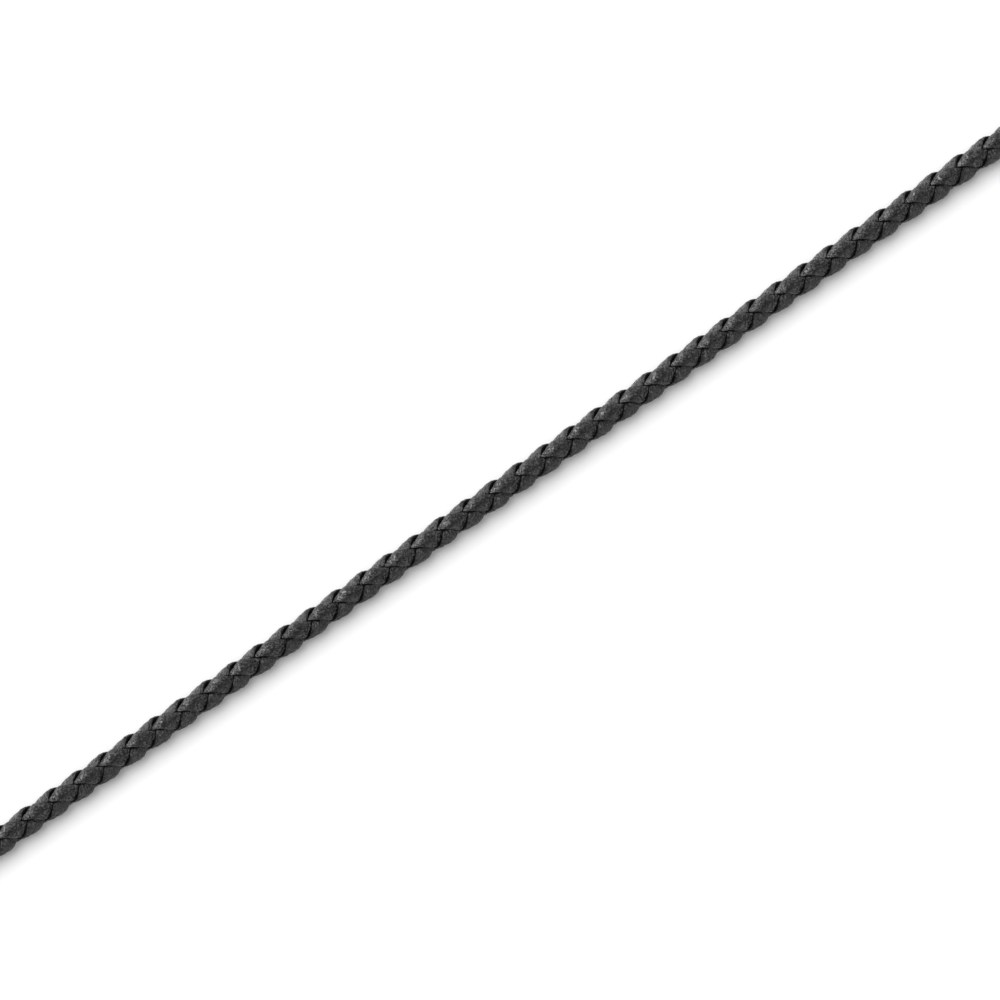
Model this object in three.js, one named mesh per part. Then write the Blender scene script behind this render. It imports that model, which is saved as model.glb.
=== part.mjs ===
// A leather cord necklace lying flat: one round braided cord closed by a plain barrel clasp.
// Millimetres, +Z up, resting on z = 0. The long straight stretch is the front of the loop,
// parallel to X, and the clasp lies at the back, on +Y.
import * as THREE from "three";

// The cord: four leather strands braided into one round cord.
const CORD_DIAMETER = 3;
const CORD_SIDES = 8;
const CORD_STEPS = 80;

// The clasp: a turned barrel with a blind bore in each end, which takes an end of the cord.
const CLASP_DIAMETER = 5.5;
const CLASP_LENGTH = 18;
const CLASP_SIDES = 24;
const SHOULDER_LENGTH = 1.4;
const MOUTH_DIAMETER = 4.5;
const BORE_DIAMETER = 3.9;
const BORE_DEPTH = 5.5;
const FIT_GAP = 0.3;

// The loop on the surface: the front stretch lies at FRONT_Y, the clasp this far behind it.
const FRONT_Y = -55.1;
const CLASP_X = -4;
const CLASP_REACH = 109;
const RISE_LENGTH = 26;

// Half lengths of the clasp, to its mouths and to the cord's ends inside its bores.
const MOUTH = CLASP_LENGTH / 2;
const CORD_END = MOUTH - BORE_DEPTH + FIT_GAP;

// The cord's route over the surface as x and the distance behind the front stretch, from its
// end in the clasp's left mouth, round the left side, along the front and back to the right.
const ROUTE = [
  [CLASP_X - CORD_END, CLASP_REACH],
  [CLASP_X - MOUTH, CLASP_REACH],
  [CLASP_X - MOUTH - 4, CLASP_REACH - 0.2],
  [-26, 107],
  [-36, 101.6],
  [-48, 92.3],
  [-61.4, 81.4],
  [-75, 70],
  [-86.8, 58],
  [-95.2, 45],
  [-99.2, 31.6],
  [-98.4, 19],
  [-93.4, 8.8],
  [-87.2, 3.1],
  [-80, 0.6],
  [-73, 0],
  [-62, 0],
  [-42, 0],
  [-21, 0],
  [0, 0],
  [21, 0],
  [42, 0],
  [62, 0],
  [73, 0],
  [80, 0.6],
  [87, 3],
  [93, 8],
  [98, 16.6],
  [99.4, 27.8],
  [97.4, 39.6],
  [91.6, 51.4],
  [82.2, 63],
  [69.8, 74.2],
  [55, 85],
  [40, 94.7],
  [27.6, 102.6],
  [17.6, 107.3],
  [CLASP_X + MOUTH + 4, CLASP_REACH - 0.2],
  [CLASP_X + MOUTH, CLASP_REACH],
  [CLASP_X + CORD_END, CLASP_REACH],
];

// A regular polygon whose flats, not its corners, lie at the given radius.
function cornerRadius(flatRadius, sides) {
  return flatRadius / Math.cos(Math.PI / sides);
}

// The cord's centre line. It lies on the surface and rises to the clasp's axis near the
// clasp, and its section never twists, so that one flat of it faces straight down.
class LaidCordCurve extends THREE.CatmullRomCurve3 {
  getPoint(t, target = new THREE.Vector3()) {
    const point = super.getPoint(t, target);
    const fromClasp = Math.abs(point.x - CLASP_X) - MOUTH;
    const behind = point.y - FRONT_Y > CLASP_REACH / 2;
    const lying = behind ? THREE.MathUtils.smoothstep(fromClasp, 0, RISE_LENGTH) : 1;
    point.z = THREE.MathUtils.lerp(CLASP_DIAMETER, CORD_DIAMETER, lying) / 2;
    return point;
  }

  computeFrenetFrames(segments) {
    const up = new THREE.Vector3(0, 0, 1);
    const frames = { tangents: [], normals: [], binormals: [] };
    for (let i = 0; i <= segments; i += 1) {
      const tangent = this.getTangentAt(i / segments);
      const level = new THREE.Vector3().crossVectors(up, tangent).normalize();
      frames.tangents.push(tangent);
      frames.normals.push(level);
      frames.binormals.push(new THREE.Vector3().crossVectors(tangent, level));
    }
    return frames;
  }
}

function cordRoute() {
  const points = ROUTE.map(([x, reach]) => new THREE.Vector3(x, FRONT_Y + reach, 0));
  return new LaidCordCurve(points, false, "catmullrom", 0.5);
}

// The cord's section, with flats at the top, the bottom and both sides.
function cordSection() {
  const radius = cornerRadius(CORD_DIAMETER / 2, CORD_SIDES);
  const section = new THREE.Shape();
  for (let i = 0; i < CORD_SIDES; i += 1) {
    const angle = (2 * Math.PI * (i + 0.5)) / CORD_SIDES;
    const x = radius * Math.cos(angle);
    const y = radius * Math.sin(angle);
    if (i === 0) section.moveTo(x, y);
    else section.lineTo(x, y);
  }
  section.closePath();
  return section;
}

function braidedCord() {
  const geometry = new THREE.ExtrudeGeometry(cordSection(), {
    extrudePath: cordRoute(),
    steps: CORD_STEPS,
  });
  const leather = new THREE.MeshStandardMaterial({
    color: 0x37373a,
    roughness: 0.62,
    metalness: 0,
  });
  const mesh = new THREE.Mesh(geometry, leather);
  mesh.name = "braided_cord";
  return mesh;
}

// The barrel is turned about its own axis and then laid along X on one of its flats.
function barrelClasp() {
  const outer = cornerRadius(CLASP_DIAMETER / 2, CLASP_SIDES);
  const mouth = cornerRadius(MOUTH_DIAMETER / 2, CLASP_SIDES);
  const bore = cornerRadius(BORE_DIAMETER / 2, CLASP_SIDES);
  const boreEnd = MOUTH - BORE_DEPTH;
  const shoulder = MOUTH - SHOULDER_LENGTH;
  const profile = [
    new THREE.Vector2(0, -boreEnd),
    new THREE.Vector2(bore, -boreEnd),
    new THREE.Vector2(bore, -MOUTH),
    new THREE.Vector2(mouth, -MOUTH),
    new THREE.Vector2(outer, -shoulder),
    new THREE.Vector2(outer, shoulder),
    new THREE.Vector2(mouth, MOUTH),
    new THREE.Vector2(bore, MOUTH),
    new THREE.Vector2(bore, boreEnd),
    new THREE.Vector2(0, boreEnd),
  ];
  const geometry = new THREE.LatheGeometry(profile, CLASP_SIDES, Math.PI / CLASP_SIDES);
  const steel = new THREE.MeshStandardMaterial({
    color: 0xb9bbbd,
    roughness: 0.32,
    metalness: 1,
  });
  const mesh = new THREE.Mesh(geometry, steel);
  mesh.name = "barrel_clasp";
  mesh.rotation.z = Math.PI / 2;
  mesh.position.set(CLASP_X, FRONT_Y + CLASP_REACH, CLASP_DIAMETER / 2);
  return mesh;
}

const necklace = new THREE.Group();
necklace.add(braidedCord());
necklace.add(barrelClasp());

export default necklace;
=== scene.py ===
"""A leather cord necklace laid on a pale floor: four flat laces braided round, and a barrel clasp.

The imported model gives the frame: the cord's own solid and the clasp's solid are replaced here by
the braid and the turned barrel, in the same place and at the same size.
"""

import math
from collections import namedtuple

import bpy
import numpy as np
from bpy.props import FloatProperty, FloatVectorProperty, IntProperty, PointerProperty
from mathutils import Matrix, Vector
from mathutils.bvhtree import BVHTree


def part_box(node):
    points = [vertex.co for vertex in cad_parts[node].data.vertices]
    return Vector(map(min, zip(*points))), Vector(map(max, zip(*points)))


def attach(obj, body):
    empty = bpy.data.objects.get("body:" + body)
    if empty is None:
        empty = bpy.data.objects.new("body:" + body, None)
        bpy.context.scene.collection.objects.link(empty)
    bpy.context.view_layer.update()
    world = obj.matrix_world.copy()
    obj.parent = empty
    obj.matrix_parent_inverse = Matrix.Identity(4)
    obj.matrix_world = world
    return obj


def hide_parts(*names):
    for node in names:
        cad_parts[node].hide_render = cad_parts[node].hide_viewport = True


bl_info = {
    "name": "Leather Cord Necklace",
    "version": (1, 0, 0),
    "blender": (4, 5, 0),
    "location": "3D View > Sidebar > Necklace",
    "description": "Builds a round braided leather cord, its barrel clasp and a pale floor",
    "category": "Add Mesh",
}

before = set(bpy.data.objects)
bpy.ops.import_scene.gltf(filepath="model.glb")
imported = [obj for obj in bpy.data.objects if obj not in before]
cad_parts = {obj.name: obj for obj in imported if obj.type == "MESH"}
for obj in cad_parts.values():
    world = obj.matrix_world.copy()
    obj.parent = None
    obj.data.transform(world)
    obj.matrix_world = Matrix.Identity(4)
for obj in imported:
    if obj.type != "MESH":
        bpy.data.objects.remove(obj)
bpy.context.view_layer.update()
CLASP_LOW, CLASP_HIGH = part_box("barrel_clasp")

MM = 0.001

# The cord's route over the floor, as the model's source lays it: x and the distance behind the
# front stretch, from the end in the clasp's left mouth round to the end in the right one.
FRONT_Y = -55.1 * MM
CLASP_X = -4 * MM
CLASP_REACH = 109 * MM
MOUTH = 9 * MM
CORD_END = 3.8 * MM
RISE_LENGTH = 26 * MM
LYING_HEIGHT = 1.5 * MM
CLASP_HEIGHT = 2.75 * MM
ROUTE = [
    (CLASP_X - CORD_END, CLASP_REACH),
    (CLASP_X - MOUTH, CLASP_REACH),
    (CLASP_X - MOUTH - 4 * MM, CLASP_REACH - 0.2 * MM),
    (-0.0260, 0.1070),
    (-0.0360, 0.1016),
    (-0.0480, 0.0923),
    (-0.0614, 0.0814),
    (-0.0750, 0.0700),
    (-0.0868, 0.0580),
    (-0.0952, 0.0450),
    (-0.0992, 0.0316),
    (-0.0984, 0.0190),
    (-0.0934, 0.0088),
    (-0.0872, 0.0031),
    (-0.0800, 0.0006),
    (-0.0730, 0.0),
    (-0.0620, 0.0),
    (-0.0420, 0.0),
    (-0.0210, 0.0),
    (0.0, 0.0),
    (0.0210, 0.0),
    (0.0420, 0.0),
    (0.0620, 0.0),
    (0.0730, 0.0),
    (0.0800, 0.0006),
    (0.0870, 0.0030),
    (0.0930, 0.0080),
    (0.0980, 0.0166),
    (0.0994, 0.0278),
    (0.0974, 0.0396),
    (0.0916, 0.0514),
    (0.0822, 0.0630),
    (0.0698, 0.0742),
    (0.0550, 0.0850),
    (0.0400, 0.0947),
    (0.0276, 0.1026),
    (0.0176, 0.1073),
    (CLASP_X + MOUTH + 4 * MM, CLASP_REACH - 0.2 * MM),
    (CLASP_X + MOUTH, CLASP_REACH),
    (CLASP_X + CORD_END, CLASP_REACH),
]

# A lace's way through the section of the cord, as shares of the cord's diameter: how far out it
# lies on top of the braid, how far out it passes under the others, and how square its turns are.
OVER, UNDER, SQUARE = 0.387, 0.125, 0.04

# Where round its section a lace has points, in degrees: over the outer face, then the inner one.
OUTER_FACE = (0, 12, 25, 38, 52, 68, 90, 112, 128, 142, 155, 168, 180)
INNER_FACE = (205, 232, 308, 335)

# Lengths of cord, in turns, over which the pull of the braid and the width of a lace change.
PULL_RUN, TRIM_RUN = 0.7, 0.4

# How many points smooth each span of the route, how near the front's line the route counts as
# the front stretch, how far the laces stay above the floor, and how far off a seam is felt.
SPAN_POINTS = 60
STRAIGHT_WITHIN = 0.1 * MM
FLOOR_GAP = 0.01 * MM
SEAM_REACH = 0.5 * MM

# The laces' own coordinates, in millimetres: how far apart the laces start, so that no two have
# the same grain, and a place across them that only their cut ends have.
LACE_APART = 137
CUT_END = 5.0

# The leather's places, in millimetres: the fold, and the crackled patch of painted highlight, beside
# the middle of a stitch; the cut edge past a lace's half width; and the painted shade of the seam
# where two laces meet.
FOLD_PLACE, FOLD_WIDTH = -0.5, 0.3
PATCH_PLACE, PATCH_WIDTH = 0.3, 0.3
EDGE_START, EDGE_FULL = 0.1, 0.25
SEAM_SHADE_WIDTH, SEAM_ROUND = 0.055, 0.1

# How high each part of the grain stands, as shares of the relief, and how deep the relief is.
PEBBLES_HIGH, FINE_HIGH, CRACKLE_HIGH = 0.9, 0.6, 0.3
CREASES_HIGH, BENT_CREASES_HIGH = 0.5, 0.9
RELIEF = 0.4 * MM

# How much of the dye is gone from the rubbed grain, and how strongly the crackled patch is painted
# with the wear colour as a highlight.
GRAIN_WORN, PATCH_HIGHLIGHT = 0.27, 0.9

# How often the clasp's turning lines change, a metre: along the barrel, and across it twice.
LINES_A_METRE = (9000.0, 120.0, 120.0)

# The stage: the floor's side in metres, and the camera's lens and sensor in millimetres.
FLOOR_SIDE = 6.0
LENS, SENSOR = 200.0, 36.0


# ---------------------------------------------------------------------------------------------
# What a user may change


class CordSettings(bpy.types.PropertyGroup):
    """The braid: its size, how its laces are cut and how evenly they are pulled."""

    diameter: FloatProperty(
        name="Diameter",
        description="Thickness of the finished round braid",
        default=0.003,
        min=0.001,
        max=0.01,
        precision=4,
        unit="LENGTH",
    )
    turn: FloatProperty(
        name="Turn",
        description="Length of cord in which a lace goes once round, which is two stitches",
        default=0.00695,
        min=0.003,
        max=0.03,
        precision=5,
        unit="LENGTH",
    )
    lace_width: FloatProperty(
        name="Lace Width",
        description="Width that each flat lace is cut to",
        default=0.0019,
        min=0.0005,
        max=0.01,
        precision=5,
        unit="LENGTH",
    )
    lace_thickness: FloatProperty(
        name="Lace Thickness",
        description="Thickness of the leather that the laces are cut from",
        default=0.00075,
        min=0.0002,
        max=0.003,
        precision=5,
        unit="LENGTH",
    )
    crown: FloatProperty(
        name="Crown",
        description="How much the laces bow across their width where they lie on top, per metre",
        default=80,
        min=0,
        max=400,
    )
    squareness: FloatProperty(
        name="Squareness",
        description="Shape of a lace's section: 2 is an ellipse, and more is squarer",
        default=3.2,
        min=2,
        max=8,
    )
    lead: FloatProperty(
        name="Lead",
        description="How far ahead of even spacing the second pair of laces is pulled",
        default=0.1,
        subtype="ANGLE",
    )
    roll: FloatProperty(
        name="Roll",
        description="How far the top column of stitches leans from straight up",
        default=math.radians(14),
        subtype="ANGLE",
    )
    stitch_start: FloatProperty(
        name="Stitch Start",
        description="Place along the front stretch where a stitch is at its highest",
        default=0.0014,
        precision=5,
        unit="LENGTH",
    )
    unevenness: FloatProperty(
        name="Unevenness",
        description="How much the stitches differ from each other, as a share of a stitch",
        default=0.03,
        min=0,
        max=0.2,
        subtype="FACTOR",
    )
    rings: IntProperty(
        name="Rings",
        description="Rings of faces along each lace in one turn",
        default=20,
        min=8,
        max=48,
    )
    seed: IntProperty(
        name="Seed",
        description="Which set of small differences the stitches get",
        default=7,
        min=0,
    )


class LeatherSettings(bpy.types.PropertyGroup):
    """The dyed leather of the laces."""

    dye: FloatVectorProperty(
        name="Dye",
        description="Colour of the dyed leather",
        default=(0.009, 0.009, 0.0095),
        min=0,
        max=1,
        subtype="COLOR",
    )
    # Real wear on the rubbed grain; also painted on a crackled patch where each lace comes out, as a
    # painted highlight.
    wear_and_highlight: FloatVectorProperty(
        name="Wear",
        description="Colour of the grain's tops where handling has rubbed the dye",
        default=(0.4, 0.4, 0.405),
        min=0,
        max=1,
        subtype="COLOR",
    )
    # Also painted into the seams between the laces as painted shade; on the cut edges it is partly
    # their own dark colour and partly painted shade on their walls.
    edge: FloatVectorProperty(
        name="Edge",
        description="Colour of the cut edges, where the dye is deepest",
        default=(0.003, 0.003, 0.003),
        min=0,
        max=1,
        subtype="COLOR",
    )
    fold_depth: FloatProperty(
        name="Fold Depth",
        description="How deep the soft fold beside the middle of each stitch is",
        default=1.2,
        min=0,
        max=2,
    )
    seam_depth: FloatProperty(
        name="Seam Depth",
        description="How far the leather rounds down into the seams between the laces",
        default=0.6,
        min=0,
        max=2,
    )
    grain: FloatProperty(
        name="Grain",
        description="Width of one pebble of the leather's grain",
        default=0.00028,
        min=0.00005,
        max=0.002,
        precision=5,
        unit="LENGTH",
    )
    roughness: FloatProperty(
        name="Roughness",
        description="How matt the finish of the leather is",
        default=0.38,
        min=0,
        max=1,
        subtype="FACTOR",
    )


class ClaspSettings(bpy.types.PropertyGroup):
    """The turned barrel that takes both ends of the cord."""

    shoulder: FloatProperty(
        name="Shoulder",
        description="Length of the rounded shoulder at each mouth",
        default=0.0014,
        min=0.0002,
        max=0.004,
        precision=4,
        unit="LENGTH",
    )
    mouth: FloatProperty(
        name="Mouth",
        description="Outer diameter at each mouth",
        default=0.0045,
        min=0.003,
        max=0.0054,
        precision=4,
        unit="LENGTH",
    )
    bore: FloatProperty(
        name="Bore",
        description="Diameter of the hole that takes the cord's end",
        default=0.0039,
        min=0.003,
        max=0.0044,
        precision=4,
        unit="LENGTH",
    )
    bore_depth: FloatProperty(
        name="Bore Depth",
        description="Depth of that hole",
        default=0.0055,
        min=0.002,
        max=0.008,
        precision=4,
        unit="LENGTH",
    )
    steel: FloatVectorProperty(
        name="Steel",
        description="Colour of the brushed steel",
        default=(0.62, 0.62, 0.63),
        min=0,
        max=1,
        subtype="COLOR",
    )


class StageSettings(bpy.types.PropertyGroup):
    """The floor, the light and the view."""

    floor: FloatVectorProperty(
        name="Floor",
        description="Colour of the floor",
        default=(0.86, 0.86, 0.86),
        min=0,
        max=1,
        subtype="COLOR",
    )
    view_width: FloatProperty(
        name="View Width",
        description="Width of floor that the camera sees",
        default=0.1099,
        min=0.01,
        max=2,
        precision=4,
        unit="LENGTH",
    )
    view_front: FloatProperty(
        name="View Front",
        description="How far in front of the cord's straight stretch the view is centred",
        default=0.00079,
        precision=5,
        unit="LENGTH",
    )
    view_turn: FloatProperty(
        name="View Turn",
        description="How far the front stretch of cord rises towards the right of the view",
        default=math.radians(34.95),
        subtype="ANGLE",
    )
    key_strength: FloatProperty(
        name="Key Light",
        description="Strength of the large soft light behind the cord",
        default=3.05,
        min=0,
        max=20,
    )
    key_height: FloatProperty(
        name="Key Height",
        description="Height of the key light above the floor, as an angle",
        default=math.radians(54),
        subtype="ANGLE",
    )
    key_turn: FloatProperty(
        name="Key Turn",
        description="How far the key light stands to the left of straight behind the cord",
        default=math.radians(20),
        subtype="ANGLE",
    )
    key_spread: FloatProperty(
        name="Key Spread",
        description="How wide the key light looks from the cord, as an angle",
        default=math.radians(60),
        subtype="ANGLE",
    )
    room: FloatProperty(
        name="Room Light",
        description="Strength of the even light from all round",
        default=0.57,
        min=0,
        max=5,
    )


class NecklaceSettings(bpy.types.PropertyGroup):
    """Everything that the panel shows."""

    cord: PointerProperty(type=CordSettings)
    leather: PointerProperty(type=LeatherSettings)
    clasp: PointerProperty(type=ClaspSettings)
    stage: PointerProperty(type=StageSettings)


# ---------------------------------------------------------------------------------------------
# Shader maths


class Wire:
    """A shader socket. An expression of wires and numbers adds its Math nodes.

    A wire without a socket only starts the nodes that need no input.
    """

    def __init__(self, tree, socket=None):
        self.tree = tree
        self.socket = socket

    def node(self, kind, settings=None, inputs=None, output=0):
        """Adds a node: its settings first, then the values or wires of its sockets."""
        node = self.tree.nodes.new(kind)
        for name, value in (settings or {}).items():
            setattr(node, name, value)
        fill(node, inputs or {})
        return Wire(self.tree, node.outputs[output])

    def math(self, operation, *values):
        """One step of an expression, worked out for every place on the surface."""
        numbered = dict(enumerate(values))
        return self.node("ShaderNodeMath", {"operation": operation}, numbered)

    def __add__(self, other):
        return self.math("ADD", self, other)

    def __sub__(self, other):
        return self.math("SUBTRACT", self, other)

    def __mul__(self, other):
        return self.math("MULTIPLY", self, other)

    def __truediv__(self, other):
        return self.math("DIVIDE", self, other)

    def __rsub__(self, other):
        return self.math("SUBTRACT", other, self)

    def __rtruediv__(self, other):
        return self.math("DIVIDE", other, self)

    def __abs__(self):
        return self.math("ABSOLUTE", self)

    __radd__ = __add__
    __rmul__ = __mul__

    def between(self, low, high):
        """0 below low, 1 above high, and a smooth step from one to the other."""
        settings = {"interpolation_type": "SMOOTHSTEP"}
        inputs = {"Value": self, "From Min": low, "From Max": high}
        return self.node("ShaderNodeMapRange", settings, inputs)

    def beside(self, middle, width):
        """1 at the middle, and falling off smoothly to a half at the width on each side of it."""
        away = (self - middle) / width
        return 1 / (1 + away * away)

    def part(self, number):
        """One of a vector's three numbers."""
        return self.node("ShaderNodeSeparateXYZ", None, {0: self}, number)

    def vector_math(self, operation, *values):
        """One step on three numbers at once, which starts from this wire."""
        numbered = dict(enumerate((self, *values)))
        return self.node("ShaderNodeVectorMath", {"operation": operation}, numbered)

    def noise(self, scale, detail, roughness=0.5, dimensions="2D", output=0):
        """A smooth random pattern over the places that the wire gives."""
        settings = {"noise_dimensions": dimensions}
        inputs = {"Vector": self, "Scale": scale, "Detail": detail, "Roughness": roughness}
        return self.node("ShaderNodeTexNoise", settings, inputs, output)

    def bump(self, strength, distance):
        """The surface's direction, where the wire is its height."""
        inputs = {"Height": self, "Strength": strength, "Distance": distance}
        return self.node("ShaderNodeBump", None, inputs)


def fill(node, inputs):
    """Sets a node's sockets, each to a value or to a wire."""
    for name, value in inputs.items():
        if isinstance(value, Wire):
            node.id_data.links.new(value.socket, node.inputs[name])
        else:
            node.inputs[name].default_value = value


def mixed(factor, first, second):
    """Two colours mixed, each given as red, green and blue."""
    inputs = {0: factor, 6: (*first, 1), 7: (*second, 1)}
    return factor.node("ShaderNodeMix", {"data_type": "RGBA"}, inputs, 2)


def new_material(name):
    """A material, a wire to start its nodes from, and its Principled shader."""
    material = bpy.data.materials.new(name)
    material.use_nodes = True
    tree = material.node_tree
    return material, Wire(tree), tree.nodes["Principled BSDF"]


# ---------------------------------------------------------------------------------------------
# Finishes


def dyed_leather(settings, half_width):
    """Black leather with a fine pebbled grain, creased where a lace bends and rubbed on its tops; a
    painted highlight where each lace comes out and painted shade in the seams.
    """
    material, start, shader = new_material("braided_leather")
    lace = start.node("ShaderNodeUVMap", {"uv_map": "Lace"})
    attribute = "ShaderNodeAttribute"
    crossing = start.node(attribute, {"attribute_name": "crossing"}, output="Vector")
    off_middle = start.node(attribute, {"attribute_name": "off_middle"}, output="Fac")
    # How high in the braid a lace lies, where it comes out from under another, and how far in
    # millimetres the next lace is.
    lift = 0.5 * crossing.part(0) + 0.5
    emerging = (0 - crossing.part(1)).between(-0.1, 1.0)
    gap = crossing.part(2)

    # The grain: pebbles on lines that wander, fine pores, large clouds, and long creases.
    pebble = MM / settings.grain
    wander = lace.noise(scale=2.5, detail=2.0, output="Color")
    bent = wander.vector_math("MULTIPLY_ADD", (0.25, 0.25, 0.0), lace)
    pebbles = bent.node(
        "ShaderNodeTexVoronoi",
        {"voronoi_dimensions": "2D", "feature": "SMOOTH_F1"},
        {"Vector": bent, "Scale": pebble, "Smoothness": 0.6},
    )
    fine = lace.noise(scale=1.1 * pebble, detail=3.0, roughness=0.6)
    mottle = lace.noise(scale=1.3, detail=3.0, roughness=0.65)
    lengthwise = bent.vector_math("MULTIPLY", (1.4, 5.0, 1.0))
    creases = lengthwise.noise(scale=1.0, detail=4.0, roughness=0.6)
    crackle = bent.noise(scale=0.75 * pebble, detail=1.0)
    crackled = 1 - abs(crackle - 0.5).between(0.02, 0.09)

    # What stands up and what is painted light: a fold beside each stitch's middle, and a crackled
    # patch that is also a painted highlight.
    fold = lift * off_middle.beside(FOLD_PLACE, FOLD_WIDTH)
    patch = (0.7 * emerging + mottle).between(0.75, 0.95)
    patch = patch * off_middle.beside(PATCH_PLACE, PATCH_WIDTH) * crackled
    height = PEBBLES_HIGH * (1 - pebbles) + FINE_HIGH * fine
    height = height + (CREASES_HIGH + BENT_CREASES_HIGH * emerging) * creases
    height = height + CRACKLE_HIGH * patch + settings.seam_depth * gap.between(0.0, SEAM_ROUND)
    height = height - settings.fold_depth * fold
    relief = height.bump(strength=1.0, distance=RELIEF)
    rubbed = (0.8 * fine + 0.4 * mottle + 0.1 * emerging).between(0.52, 0.85)
    # The rubbed grain takes the wear colour as real wear; the crackled patch takes it as a painted
    # highlight.
    worn_and_highlit = 1 - (1 - GRAIN_WORN * rubbed * (1 - fold)) * (1 - PATCH_HIGHLIGHT * patch)
    fill(shader, {
        "Base Color": mixed(worn_and_highlit, settings.dye, settings.wear_and_highlight),
        "Roughness": settings.roughness + 0.3 * (fine - 0.5) + 0.1 * (mottle - 0.5),
        "Normal": relief,
    })

    # The cut edges are matt and nearly black, partly their own colour and partly painted shade on
    # their walls; the seams between the laces get the same near-black as painted shade.
    half = half_width / MM
    cut = abs(lace.part(0)).between(half + EDGE_START, half + EDGE_FULL)
    # Where the near-black goes: the cut edges, and a band along each seam as painted shade.
    deep = 1 - (1 - cut) * gap.between(0.0, SEAM_SHADE_WIDTH)
    dark_edge_and_seam_shade = start.node("ShaderNodeBsdfPrincipled", None, {
        "Base Color": (*settings.edge, 1),
        "Roughness": 0.9,
        "Specular IOR Level": 0.1,
        "Normal": relief,
    })
    face = Wire(start.tree, shader.outputs[0])
    both = deep.node("ShaderNodeMixShader", None, {0: deep, 1: face, 2: dark_edge_and_seam_shade})
    fill(start.tree.nodes["Material Output"], {"Surface": both})
    return material


def brushed_steel(settings):
    """Satin steel with fine lines round the barrel, left by turning it."""
    material, start, shader = new_material("clasp_steel")
    place = start.node("ShaderNodeTexCoord", output="Object")
    ringed = place.vector_math("MULTIPLY", LINES_A_METRE)
    lines = ringed.noise(scale=1.0, detail=3.0, dimensions="3D")
    cloudy = place.noise(scale=350.0, detail=2.0, dimensions="3D")
    duller = [0.82 * part for part in settings.steel]
    fill(shader, {
        "Metallic": 1.0,
        "Base Color": mixed(lines, duller, settings.steel),
        "Roughness": 0.24 + 0.12 * lines + 0.06 * cloudy,
        "Normal": lines.bump(strength=0.5, distance=0.01 * MM),
    })
    return material


def plain_floor(settings):
    """A matt pale card."""
    material, _, shader = new_material("floor_card")
    fill(shader, {"Base Color": (*settings.floor, 1), "Roughness": 0.9, "Specular IOR Level": 0.2})
    return material


# ---------------------------------------------------------------------------------------------
# The cord


# One lace: rings of points, how the surface faces at each point, how far along the lace each ring
# is in metres, where in its stitch each ring is, and how far each point is off a stitch's middle.
Lace = namedtuple("Lace", "rings normals run crossing off_middle")


def unit(vectors):
    """The same directions, each one unit long."""
    return vectors / np.linalg.norm(vectors, axis=-1, keepdims=True)


def run_along(points):
    """How far along a line of points each one is."""
    step = np.linalg.norm(np.diff(points, axis=0), axis=1)
    return np.concatenate([[0], np.cumsum(step)])


def laid_route(spacing):
    """Points along the cord's centre line, evenly spaced, and how far along it each one is."""
    points = np.array([(x, FRONT_Y + reach) for x, reach in ROUTE])
    ends = 2 * points[[0, -1]] - points[[1, -2]]
    points = np.vstack([ends[:1], points, ends[1:]])
    t = np.linspace(0, 1, SPAN_POINTS, endpoint=False)[:, None]
    spans = []
    for a, b, c, d in zip(points, points[1:], points[2:], points[3:]):
        leaving, arriving = (c - a) / 2, (d - b) / 2
        spans.append(
            (2 * t**3 - 3 * t**2 + 1) * b
            + (t**3 - 2 * t**2 + t) * leaving
            + (3 * t**2 - 2 * t**3) * c
            + (t**3 - t**2) * arriving
        )
    flat = np.vstack([*spans, points[-2:-1]])
    from_clasp = np.abs(flat[:, 0] - CLASP_X) - MOUTH
    lying = np.clip(from_clasp / RISE_LENGTH, 0, 1)
    lying = lying * lying * (3 - 2 * lying)
    lying[flat[:, 1] - FRONT_Y < CLASP_REACH / 2] = 1
    height = CLASP_HEIGHT + (LYING_HEIGHT - CLASP_HEIGHT) * lying
    line = np.column_stack([flat, height])
    along = run_along(line)
    places = np.linspace(0, along[-1], round(along[-1] / spacing) + 1)
    route = np.column_stack([np.interp(places, along, column) for column in line.T])
    return route, places


def section_axes(route, roll):
    """At each point, the two ways across the cord that the braid's columns face."""
    ahead = unit(np.gradient(route, axis=0))
    left = unit(np.cross([0, 0, 1], ahead))
    up = np.cross(ahead, left)
    lean, straight = math.sin(roll), math.cos(roll)
    return straight * up + lean * left, straight * left - lean * up


def drift(places, spacing, rng):
    """A smooth random line through the places, about -1 to 1, that changes over the spacing."""
    knots = np.arange(places[0] - spacing, places[-1] + 2 * spacing, spacing)
    values = rng.uniform(-1, 1, len(knots))
    t = (places - knots[0]) / spacing
    i = t.astype(int)
    t = t - i
    t = t * t * (3 - 2 * t)
    return values[i] * (1 - t) + values[i + 1] * t


def lace_line(angle, diameter):
    """A lace's middle in the cord's section, and the way that its face points there."""
    over, under, square = OVER * diameter, UNDER * diameter, SQUARE * diameter
    x = (over - square) * np.cos(angle) + square * np.cos(3 * angle)
    y = -(under + square) * np.sin(angle) - square * np.sin(3 * angle)
    return np.stack([x, y], 1), np.stack([np.cos(angle), -np.sin(angle)], 1)


def lace_section(settings):
    """Points round a soft-edged lace, as across it, out from its middle, and how each faces.

    They go over the outer face from the right edge to the left one, then round the inner face.
    """
    half, thick = settings.lace_width / 2, settings.lace_thickness / 2
    angle = np.radians([*OUTER_FACE, *INNER_FACE])
    cos, sin = np.cos(angle), np.sin(angle)
    power = 2 / settings.squareness
    across = half * np.sign(cos) * np.abs(cos) ** power
    out = thick * np.sign(sin) * np.abs(sin) ** power
    facing = [
        np.sign(cos) * np.abs(cos) ** (2 - power) / half,
        np.sign(sin) * np.abs(sin) ** (2 - power) / thick,
    ]
    return across, out, unit(np.stack(facing, 1))


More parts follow.
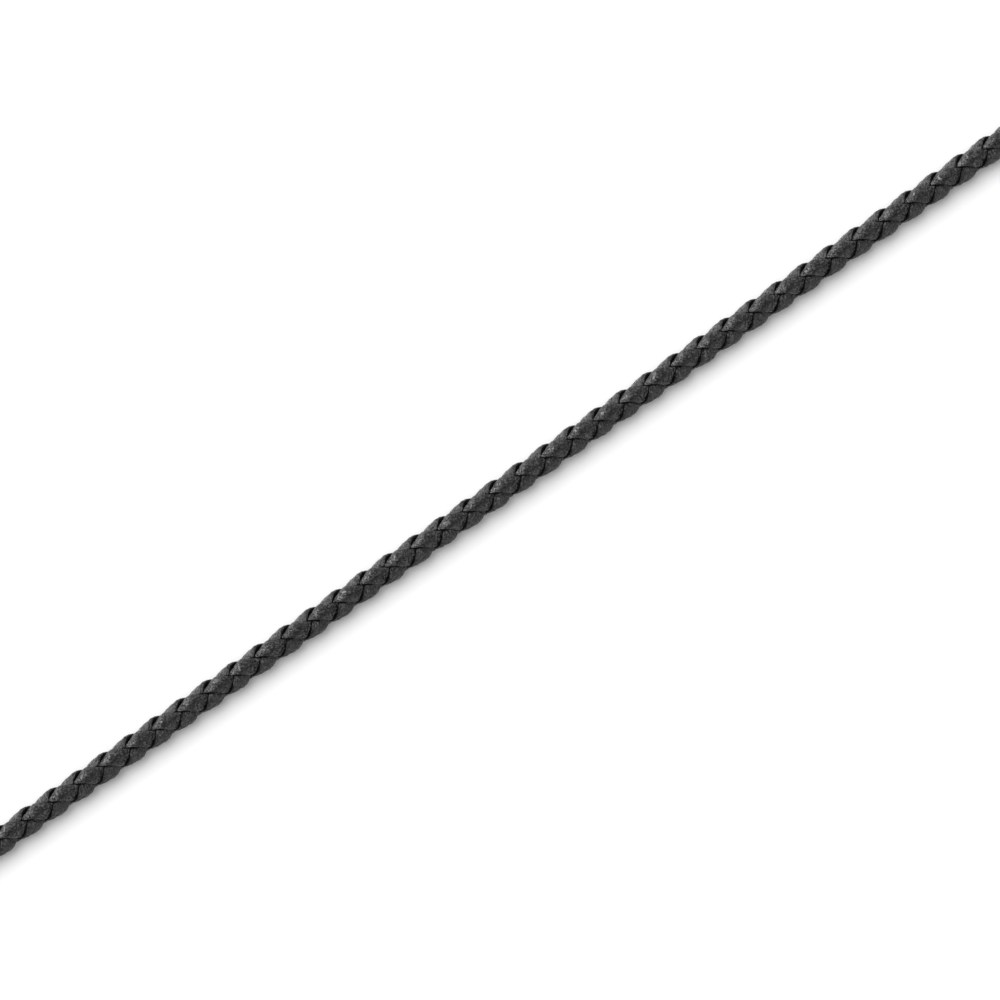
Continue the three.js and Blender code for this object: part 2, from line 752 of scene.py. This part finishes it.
def braid_laces(settings):
    """The cord's route and its four laces: two that turn one way round it and two the other."""
    route, places = laid_route(settings.turn / settings.rings)
    front = np.abs(route[:, 1] - FRONT_Y) < STRAIGHT_WITHIN
    start = np.interp(settings.stitch_start, route[front, 0], places[front])
    rng = np.random.default_rng(settings.seed)
    stitch = settings.turn / 2
    pull = settings.unevenness * stitch * drift(places, PULL_RUN * settings.turn, rng)
    laces = []
    for hand in (1, -1):
        for partner in (0, 1):
            own = settings.unevenness * stitch / 2 * drift(places, settings.turn, rng)
            angle = 2 * np.pi * (places - start + pull + own) / settings.turn
            angle = angle + np.pi * partner + (0 if hand > 0 else np.pi / 2 + settings.lead)
            trim = 1 + settings.unevenness * drift(places, TRIM_RUN * settings.turn, rng)
            laces.append(swept_lace(settings, route, angle, trim, hand))
    return route, laces


def swept_lace(settings, route, angle, trim, hand):
    """One lace swept along its way through the braid, at the angle that it has at each place."""
    side_x, side_y = section_axes(route, settings.roll)
    middle, faces = lace_line(angle, settings.diameter)
    if hand < 0:
        middle, faces = middle[:, ::-1], faces[:, ::-1]
    centre = route + middle[:, :1] * side_x + middle[:, 1:] * side_y
    face = faces[:, :1] * side_x + faces[:, 1:] * side_y
    along = unit(np.gradient(centre, axis=0))
    face = unit(face - (face * along).sum(1, keepdims=True) * along)
    sideways = np.cross(along, face)

    across, out, facing = lace_section(settings)
    crossing = np.stack([np.cos(2 * angle), np.sin(2 * angle), 0 * angle], 1)
    bow = settings.crown * (0.5 + 0.5 * crossing[:, :1])
    u, v = trim[:, None] * across, out - bow * across**2
    rings = centre[:, None] + u[..., None] * sideways[:, None] + v[..., None] * face[:, None]

    turned = facing[:, 0] + 2 * bow * across * facing[:, 1]
    normals = turned[..., None] * sideways[:, None] + facing[:, 1:] * face[:, None]
    normals = unit(normals)

    across_cord = side_y if hand > 0 else side_x
    off_middle = ((rings - route[:, None]) * across_cord[:, None]).sum(-1)
    off_middle = off_middle * np.sign(np.cos(angle))[:, None]
    rings[..., 2] = np.maximum(rings[..., 2], FLOOR_GAP)
    swept = unit(np.gradient(rings, axis=0))
    normals = unit(normals - (normals * swept).sum(-1, keepdims=True) * swept)
    return Lace(rings, normals, run_along(centre), crossing, off_middle)


def lace_girth(settings):
    """Round the lace, how far each point lies from the middle of the outer face, in millimetres."""
    across, out, _ = lace_section(settings)
    outline = np.stack([np.append(across, across[0]), np.append(out, out[0])], 1)
    girth = run_along(outline) / MM
    middle = np.argmin(np.abs(across) + (out < 0))
    return girth[middle] - girth


def seam_gaps(laces):
    """How far each point of each lace is from the nearest of the others; negative inside it."""
    trees = []
    for lace in laces:
        rings, count = lace.rings.shape[:2]
        index = np.arange(rings * count).reshape(rings, count)
        points = lace.rings.reshape(-1, 3).tolist()
        trees.append(BVHTree.FromPolygons(points, tube_faces(index)))
    gaps = []
    for number, lace in enumerate(laces):
        others = trees[:number] + trees[number + 1 :]
        points = lace.rings.reshape(-1, 3)
        gaps.append(np.array([min(signed_gap(tree, point) for tree in others) for point in points]))
    return gaps


def signed_gap(tree, point):
    """Distance from a point to a closed tube, negative inside it, and at most SEAM_REACH."""
    place, normal, _, distance = tree.find_nearest(Vector(point), SEAM_REACH)
    if place is None:
        return SEAM_REACH
    return distance if (Vector(point) - place).dot(normal) > 0 else -distance


def tube_faces(index):
    """Faces that join each ring of a tube to the next, all facing out."""
    nearer, further = index[:-1], index[1:]
    quads = np.stack([nearer, further, np.roll(further, -1, 1), np.roll(nearer, -1, 1)], -1)
    return quads.reshape(-1, 4).tolist()


def tube_map(girth, length):
    """The coordinates of each face's corners, as tube_faces orders them: round and along."""
    shape = (len(length) - 1, len(girth) - 1)
    a, b = np.broadcast_to(girth[:-1], shape), np.broadcast_to(girth[1:], shape)
    near = np.broadcast_to(length[:-1, None], shape)
    far = np.broadcast_to(length[1:, None], shape)
    return np.stack([a, near, a, far, b, far, b, near], -1).reshape(-1)


def braid_mesh(name, laces, girth):
    """One mesh of closed tubes, with a UV map in millimetres: round each lace and along it."""
    gaps = seam_gaps(laces)
    faces, maps, crossings = [], [], []
    first = 0
    for number, lace in enumerate(laces):
        rings, count = lace.rings.shape[:2]
        index = first + np.arange(rings * count).reshape(rings, count)
        first += rings * count
        faces += tube_faces(index)
        length = lace.run / MM + LACE_APART * number
        maps.append(tube_map(girth, length))
        for end, order in ((index[0], 1), (index[-1], -1)):
            faces.append(end[::order].tolist())
            maps.append(np.tile([CUT_END, length[0]], count))
        crossing = np.repeat(lace.crossing, count, axis=0)
        crossing[:, 2] = gaps[number] / MM
        crossings.append(crossing)
    points = np.concatenate([lace.rings.reshape(-1, 3) for lace in laces])
    normals = np.concatenate([lace.normals.reshape(-1, 3) for lace in laces])
    offsets = np.concatenate([lace.off_middle.ravel() for lace in laces])
    mesh = bpy.data.meshes.new(name)
    mesh.from_pydata(points.tolist(), [], faces)
    mesh.uv_layers.new(name="Lace").uv.foreach_set("vector", np.concatenate(maps))
    crossed = mesh.attributes.new("crossing", "FLOAT_VECTOR", "POINT")
    crossed.data.foreach_set("vector", np.concatenate(crossings).ravel())
    offset = mesh.attributes.new("off_middle", "FLOAT", "POINT")
    offset.data.foreach_set("value", offsets / MM)
    mesh.shade_smooth()
    mesh.normals_split_custom_set_from_vertices(normals.tolist())
    mesh.update()
    return mesh


# ---------------------------------------------------------------------------------------------
# The clasp


def arc(centre, radii, start, end, count):
    """Points on an oval arc between two angles in degrees.

    Each is its place along the barrel and its distance from the barrel's axis.
    """
    angles = np.radians(np.linspace(start, end, count))
    return [
        (centre[0] + radii[0] * math.cos(a), centre[1] + radii[1] * math.sin(a))
        for a in angles
    ]


def barrel_half(settings, length, diameter):
    """The outline of the right half, from the middle of its outside to the end of its bore."""
    end, outer = length / 2, diameter / 2
    mouth, bore = settings.mouth / 2, settings.bore / 2
    lip = (mouth - bore) / 2
    centre = (end - settings.shoulder, mouth - lip)
    radii = (settings.shoulder - 0.2 * lip, outer - mouth + lip)
    shoulder = arc(centre, radii, start=90, end=8, count=9)
    rim = arc((end - lip, bore + lip), (lip, lip), start=-10, end=-90, count=5)
    bore_end = end - settings.bore_depth
    return [(0.0, outer), *shoulder, *rim, (bore_end, bore), (bore_end, 0.0)]


def barrel_mesh(settings, sides=96):
    """The barrel turned about its axis, a closed solid with a blind hole in each end."""
    size = CLASP_HIGH - CLASP_LOW
    centre = (CLASP_HIGH + CLASP_LOW) / 2
    right = barrel_half(settings, size.x, size.z)
    outline = [(-x, r) for x, r in reversed(right)] + right[1:]
    points, rows = [], []
    for x, r in outline:
        if r == 0:
            rows.append([len(points)] * sides)
            points.append((centre.x + x, centre.y, centre.z))
            continue
        rows.append([len(points) + i for i in range(sides)])
        for i in range(sides):
            a = 2 * math.pi * i / sides
            points.append((centre.x + x, centre.y + r * math.cos(a), centre.z + r * math.sin(a)))
    faces = []
    for near, far in zip(rows, rows[1:]):
        for i in range(sides):
            j = (i + 1) % sides
            corners = [near[i], near[j], far[j], far[i]]
            faces.append(list(dict.fromkeys(corners)))
    mesh = bpy.data.meshes.new("clasp_barrel")
    mesh.from_pydata(points, [], faces)
    mesh.shade_smooth()
    mesh.validate()
    mesh.update()
    return mesh


# ---------------------------------------------------------------------------------------------
# Operators


def show(name, mesh, material):
    """A piece in the scene, made of the mesh and finished in the material."""
    piece = bpy.data.objects.new(name, mesh)
    bpy.context.scene.collection.objects.link(piece)
    mesh.materials.append(material)
    return piece


class NECKLACE_OT_stage(bpy.types.Operator):
    """Puts a pale floor under the necklace, with soft light and a camera straight above"""

    bl_idname = "necklace.stage"
    bl_label = "Add Stage"

    def execute(self, context):
        settings = context.scene.necklace.stage
        scene = context.scene
        scene.view_settings.view_transform = "Standard"
        scene.view_settings.look = "None"
        half = FLOOR_SIDE / 2
        corners = [(-half, -half, 0), (half, -half, 0), (half, half, 0), (-half, half, 0)]
        mesh = bpy.data.meshes.new("floor")
        mesh.from_pydata(corners, [], [(0, 1, 2, 3)])
        show("floor", mesh, plain_floor(settings))

        camera = bpy.data.cameras.new("camera")
        camera.lens, camera.sensor_width = LENS, SENSOR
        viewer = bpy.data.objects.new("camera", camera)
        scene.collection.objects.link(viewer)
        distance = settings.view_width * LENS / SENSOR
        viewer.location = (0, FRONT_Y - settings.view_front, LYING_HEIGHT + distance)
        viewer.rotation_euler = (0, 0, -settings.view_turn)
        camera.clip_start, camera.clip_end = distance / 100, distance * 100
        scene.camera = viewer

        light = bpy.data.lights.new("key_light", "SUN")
        light.energy, light.angle = settings.key_strength, settings.key_spread
        lamp = bpy.data.objects.new("key_light", light)
        scene.collection.objects.link(lamp)
        lamp.rotation_euler = (settings.key_height - math.pi / 2, 0, settings.key_turn)
        world = bpy.data.worlds.new("room")
        world.use_nodes = True
        light_all_round = {"Color": (1, 1, 1, 1), "Strength": settings.room}
        fill(world.node_tree.nodes["Background"], light_all_round)
        scene.world = world
        return {"FINISHED"}


class NECKLACE_OT_cord(bpy.types.Operator):
    """Braids the four laces into the round cord, along the route that the cord's solid takes"""

    bl_idname = "necklace.cord"
    bl_label = "Braid Cord"

    def execute(self, context):
        settings = context.scene.necklace
        route, laces = braid_laces(settings.cord)
        mesh = braid_mesh("cord_braid", laces, lace_girth(settings.cord))
        leather = dyed_leather(settings.leather, settings.cord.lace_width / 2)
        cord = show("cord_braid", mesh, leather)
        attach(cord, "root")
        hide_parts("braided_cord")
        return {"FINISHED"}


class NECKLACE_OT_clasp(bpy.types.Operator):
    """Turns the barrel clasp that takes both ends of the cord"""

    bl_idname = "necklace.clasp"
    bl_label = "Turn Clasp"

    def execute(self, context):
        settings = context.scene.necklace.clasp
        clasp = show("clasp_barrel", barrel_mesh(settings), brushed_steel(settings))
        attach(clasp, "root")
        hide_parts("barrel_clasp")
        return {"FINISHED"}


# ---------------------------------------------------------------------------------------------
# Panel and registration


class NECKLACE_PT_panel(bpy.types.Panel):
    """Lists the necklace's pieces with their sizes and colours"""

    bl_idname = "NECKLACE_PT_panel"
    bl_label = "Leather Cord Necklace"
    bl_space_type = "VIEW_3D"
    bl_region_type = "UI"
    bl_category = "Necklace"

    def draw(self, context):
        settings = context.scene.necklace
        sections = (
            (settings.stage, "necklace.stage"),
            (settings.cord, "necklace.cord"),
            (settings.leather, None),
            (settings.clasp, "necklace.clasp"),
        )
        for group, operator in sections:
            box = self.layout.box()
            for name in group.__annotations__:
                box.prop(group, name)
            if operator:
                box.operator(operator)


CLASSES = (
    CordSettings,
    LeatherSettings,
    ClaspSettings,
    StageSettings,
    NecklaceSettings,
    NECKLACE_OT_stage,
    NECKLACE_OT_cord,
    NECKLACE_OT_clasp,
    NECKLACE_PT_panel,
)


def register():
    for cls in CLASSES:
        bpy.utils.register_class(cls)
    bpy.types.Scene.necklace = PointerProperty(type=NecklaceSettings)


def unregister():
    del bpy.types.Scene.necklace
    for cls in reversed(CLASSES):
        bpy.utils.unregister_class(cls)


def main():
    register()
    bpy.ops.necklace.stage()
    bpy.ops.necklace.cord()
    bpy.ops.necklace.clasp()


if __name__ == "__main__":
    main()
